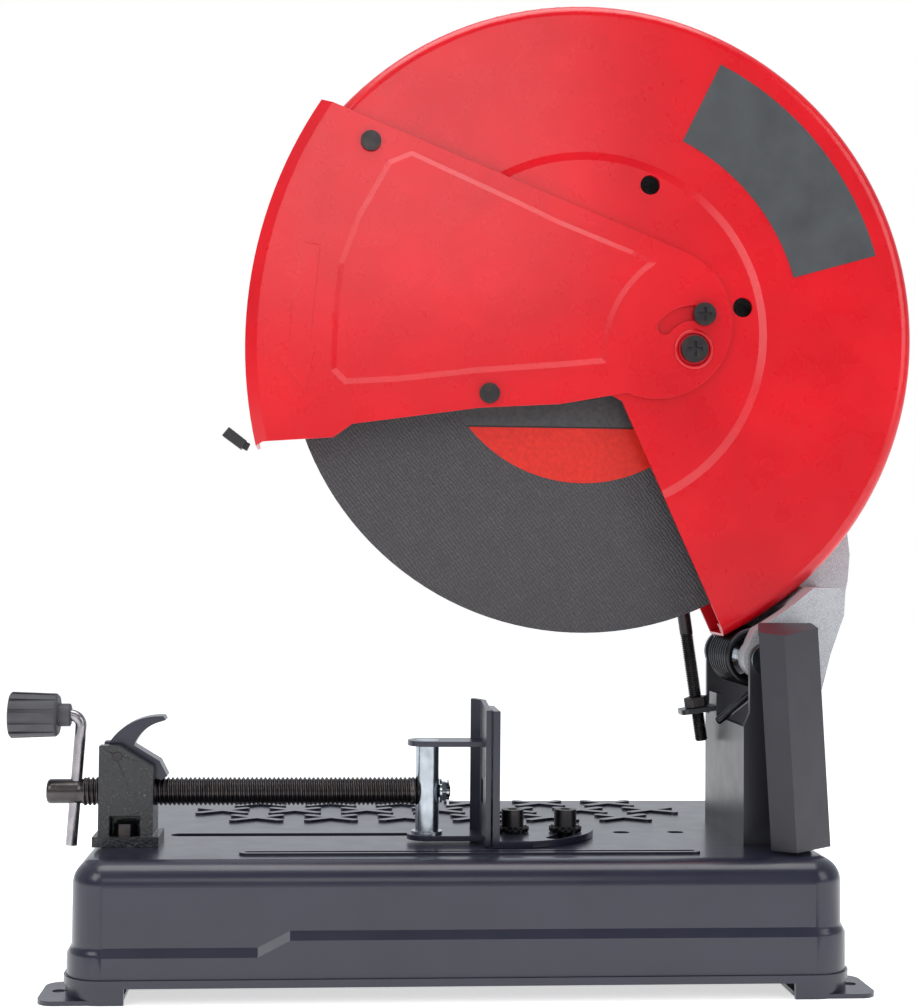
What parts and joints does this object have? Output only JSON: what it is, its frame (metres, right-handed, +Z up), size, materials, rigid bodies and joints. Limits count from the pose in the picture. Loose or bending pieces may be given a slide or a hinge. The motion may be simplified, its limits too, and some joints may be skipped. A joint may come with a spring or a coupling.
{
  "type": "abrasive chop saw",
  "caption": "Bench chop saw with an abrasive disc on a pivoting geared motor head, red guards, a pressed base, a screw vise with quick release, and a swivelling fence.",
  "frame": {"origin": "centre of the four bench holes, on the floor under the base", "axes": "+X from the operator's side to the rear pivot, +Y from the vise side to the motor side, +Z up"},
  "size_m": [0.5276, 0.3029, 0.5738],
  "materials": {
    "red_paint": "gloss",
    "black_paint": "satin",
    "silver_paint": "satin",
    "zinc_plate": "satin",
    "black_oxide": "satin",
    "bright_steel": "satin",
    "spring_steel": "gloss",
    "cast_black": "matte",
    "black_plastic": "matte",
    "grey_plastic": "matte",
    "panel_film": "satin",
    "disc_resin": "matte",
    "label_paper": "satin",
    "bronze": "satin",
    "gland_rubber": "matte",
    "laminations": "matte"
  },
  "bodies": {
    "root": {"base_pan": "black_paint", "rear_post": "black_paint", "post_bolts": "zinc_plate", "post_cover": "black_paint", "pivot_shaft": "zinc_plate", "pivot_nut": "zinc_plate", "torsion_spring": "spring_steel", "stop_nut": "zinc_plate", "vise_block": "cast_black", "vise_block_bolts": "zinc_plate", "lever_pin": "black_oxide", "fence_bolts": "black_oxide", "fence_washers": "black_oxide"},
    "head": {"head_casting": "silver_paint", "pivot_bushes": "bronze", "motor_housing": "grey_plastic", "motor_cap": "black_plastic", "stator": "laminations", "motor_bearings": "bright_steel", "spindle_bearings": "bright_steel", "brush_caps": "black_plastic", "handle_near": "black_plastic", "handle_far": "black_plastic", "handle_screws": "black_oxide", "cord_gland": "gland_rubber", "fixed_guard": "red_paint", "guard_back_plate": "red_paint", "guard_panel": "panel_film", "guard_pivot_screw": "black_oxide", "guard_stop_screw": "zinc_plate"},
    "lower_guard": {"moving_guard": "red_paint", "guard_rivets": "black_oxide", "guard_tab": "black_plastic"},
    "spindle_group": {"spindle": "bright_steel", "spindle_gear": "bright_steel", "inner_flange": "black_oxide", "outer_flange": "black_oxide", "disc_bolt": "black_oxide", "abrasive_disc": "disc_resin", "disc_label": "label_paper"},
    "armature": {"armature_shaft": "bright_steel", "armature_core": "laminations", "cooling_fan": "black_plastic"},
    "trigger_body": {"trigger": "black_plastic"},
    "vise_carriage": {"jaw_pin": "zinc_plate"},
    "jaw": {"jaw_bracket": "black_paint"},
    "screw": {"vise_screw": "black_oxide", "crank_rod": "bright_steel", "castle_nut": "zinc_plate", "nut_washer": "zinc_plate", "split_pin": "zinc_plate"},
    "knob": {"crank_knob": "grey_plastic"},
    "lever": {"release_lever": "black_paint"},
    "fence_body": {"fence": "black_paint"},
    "depth_stop": {"stop_bolt": "black_oxide"}
  },
  "joints": [
    {"name": "head_lower", "type": "hinge", "parent": "root", "child": "head", "pos_m": [0.177, 0, 0.1805], "axis": [0, -1, 0], "range_deg": [0, 44], "stiffness_Nm_per_rad": 17.7, "springref_deg": -32.26, "deforming": ["torsion_spring"]},
    {"name": "guard_raise", "type": "hinge", "parent": "head", "child": "lower_guard", "pos_m": [0.139, 0, 0.362], "axis": [0, 1, 0], "range_deg": [0, 66]},
    {"name": "spindle_spin", "type": "hinge", "parent": "head", "child": "spindle_group", "pos_m": [0.076, 0, 0.371], "axis": [0, 1, 0], "continuous": true},
    {"name": "armature_spin", "type": "hinge", "parent": "head", "child": "armature", "pos_m": [0.118, 0, 0.411], "axis": [0, 1, 0], "continuous": true},
    {"name": "trigger_press", "type": "slide", "parent": "head", "child": "trigger_body", "axis": [-0.5736, 0, 0.8192], "range_m": [0, 0.006], "stiffness_N_per_m": 400, "springref_m": -0.004},
    {"name": "jaw_slide", "type": "slide", "parent": "root", "child": "vise_carriage", "axis": [1, 0, 0], "range_m": [-0.125, 0]},
    {"name": "jaw_swivel", "type": "hinge", "parent": "vise_carriage", "child": "jaw", "pos_m": [-0.0167, -0.0575, 0], "axis": [0, 0, 1], "range_deg": [-1, 1]},
    {"name": "vise_screw_turn", "type": "hinge", "parent": "vise_carriage", "child": "screw", "pos_m": [0, -0.0575, 0.1031], "axis": [1, 0, 0], "continuous": true},
    {"name": "crank_knob_spin", "type": "hinge", "parent": "screw", "child": "knob", "pos_m": [0, -0.0575, 0.1462], "axis": [1, 0, 0], "continuous": true},
    {"name": "release_lever_lift", "type": "hinge", "parent": "root", "child": "lever", "pos_m": [-0.1917, -0.0575, 0.1244], "axis": [0, -1, 0], "range_deg": [0, 35]},
    {"name": "fence_swivel", "type": "hinge", "parent": "root", "child": "fence_body", "pos_m": [0.034, -0.047, 0], "axis": [0, 0, 1], "range_deg": [0, 45]},
    {"name": "depth_stop_adjust", "type": "slide", "parent": "root", "child": "depth_stop", "axis": [-0.1461, 0, 0.9893], "range_m": [-0.01, 0]}
  ],
  "couplings": [
    {"joint": "guard_raise", "follows": "head_lower", "ratio": 1.5},
    {"joint": "armature_spin", "follows": "spindle_spin", "ratio": -3.8333}
  ]
}
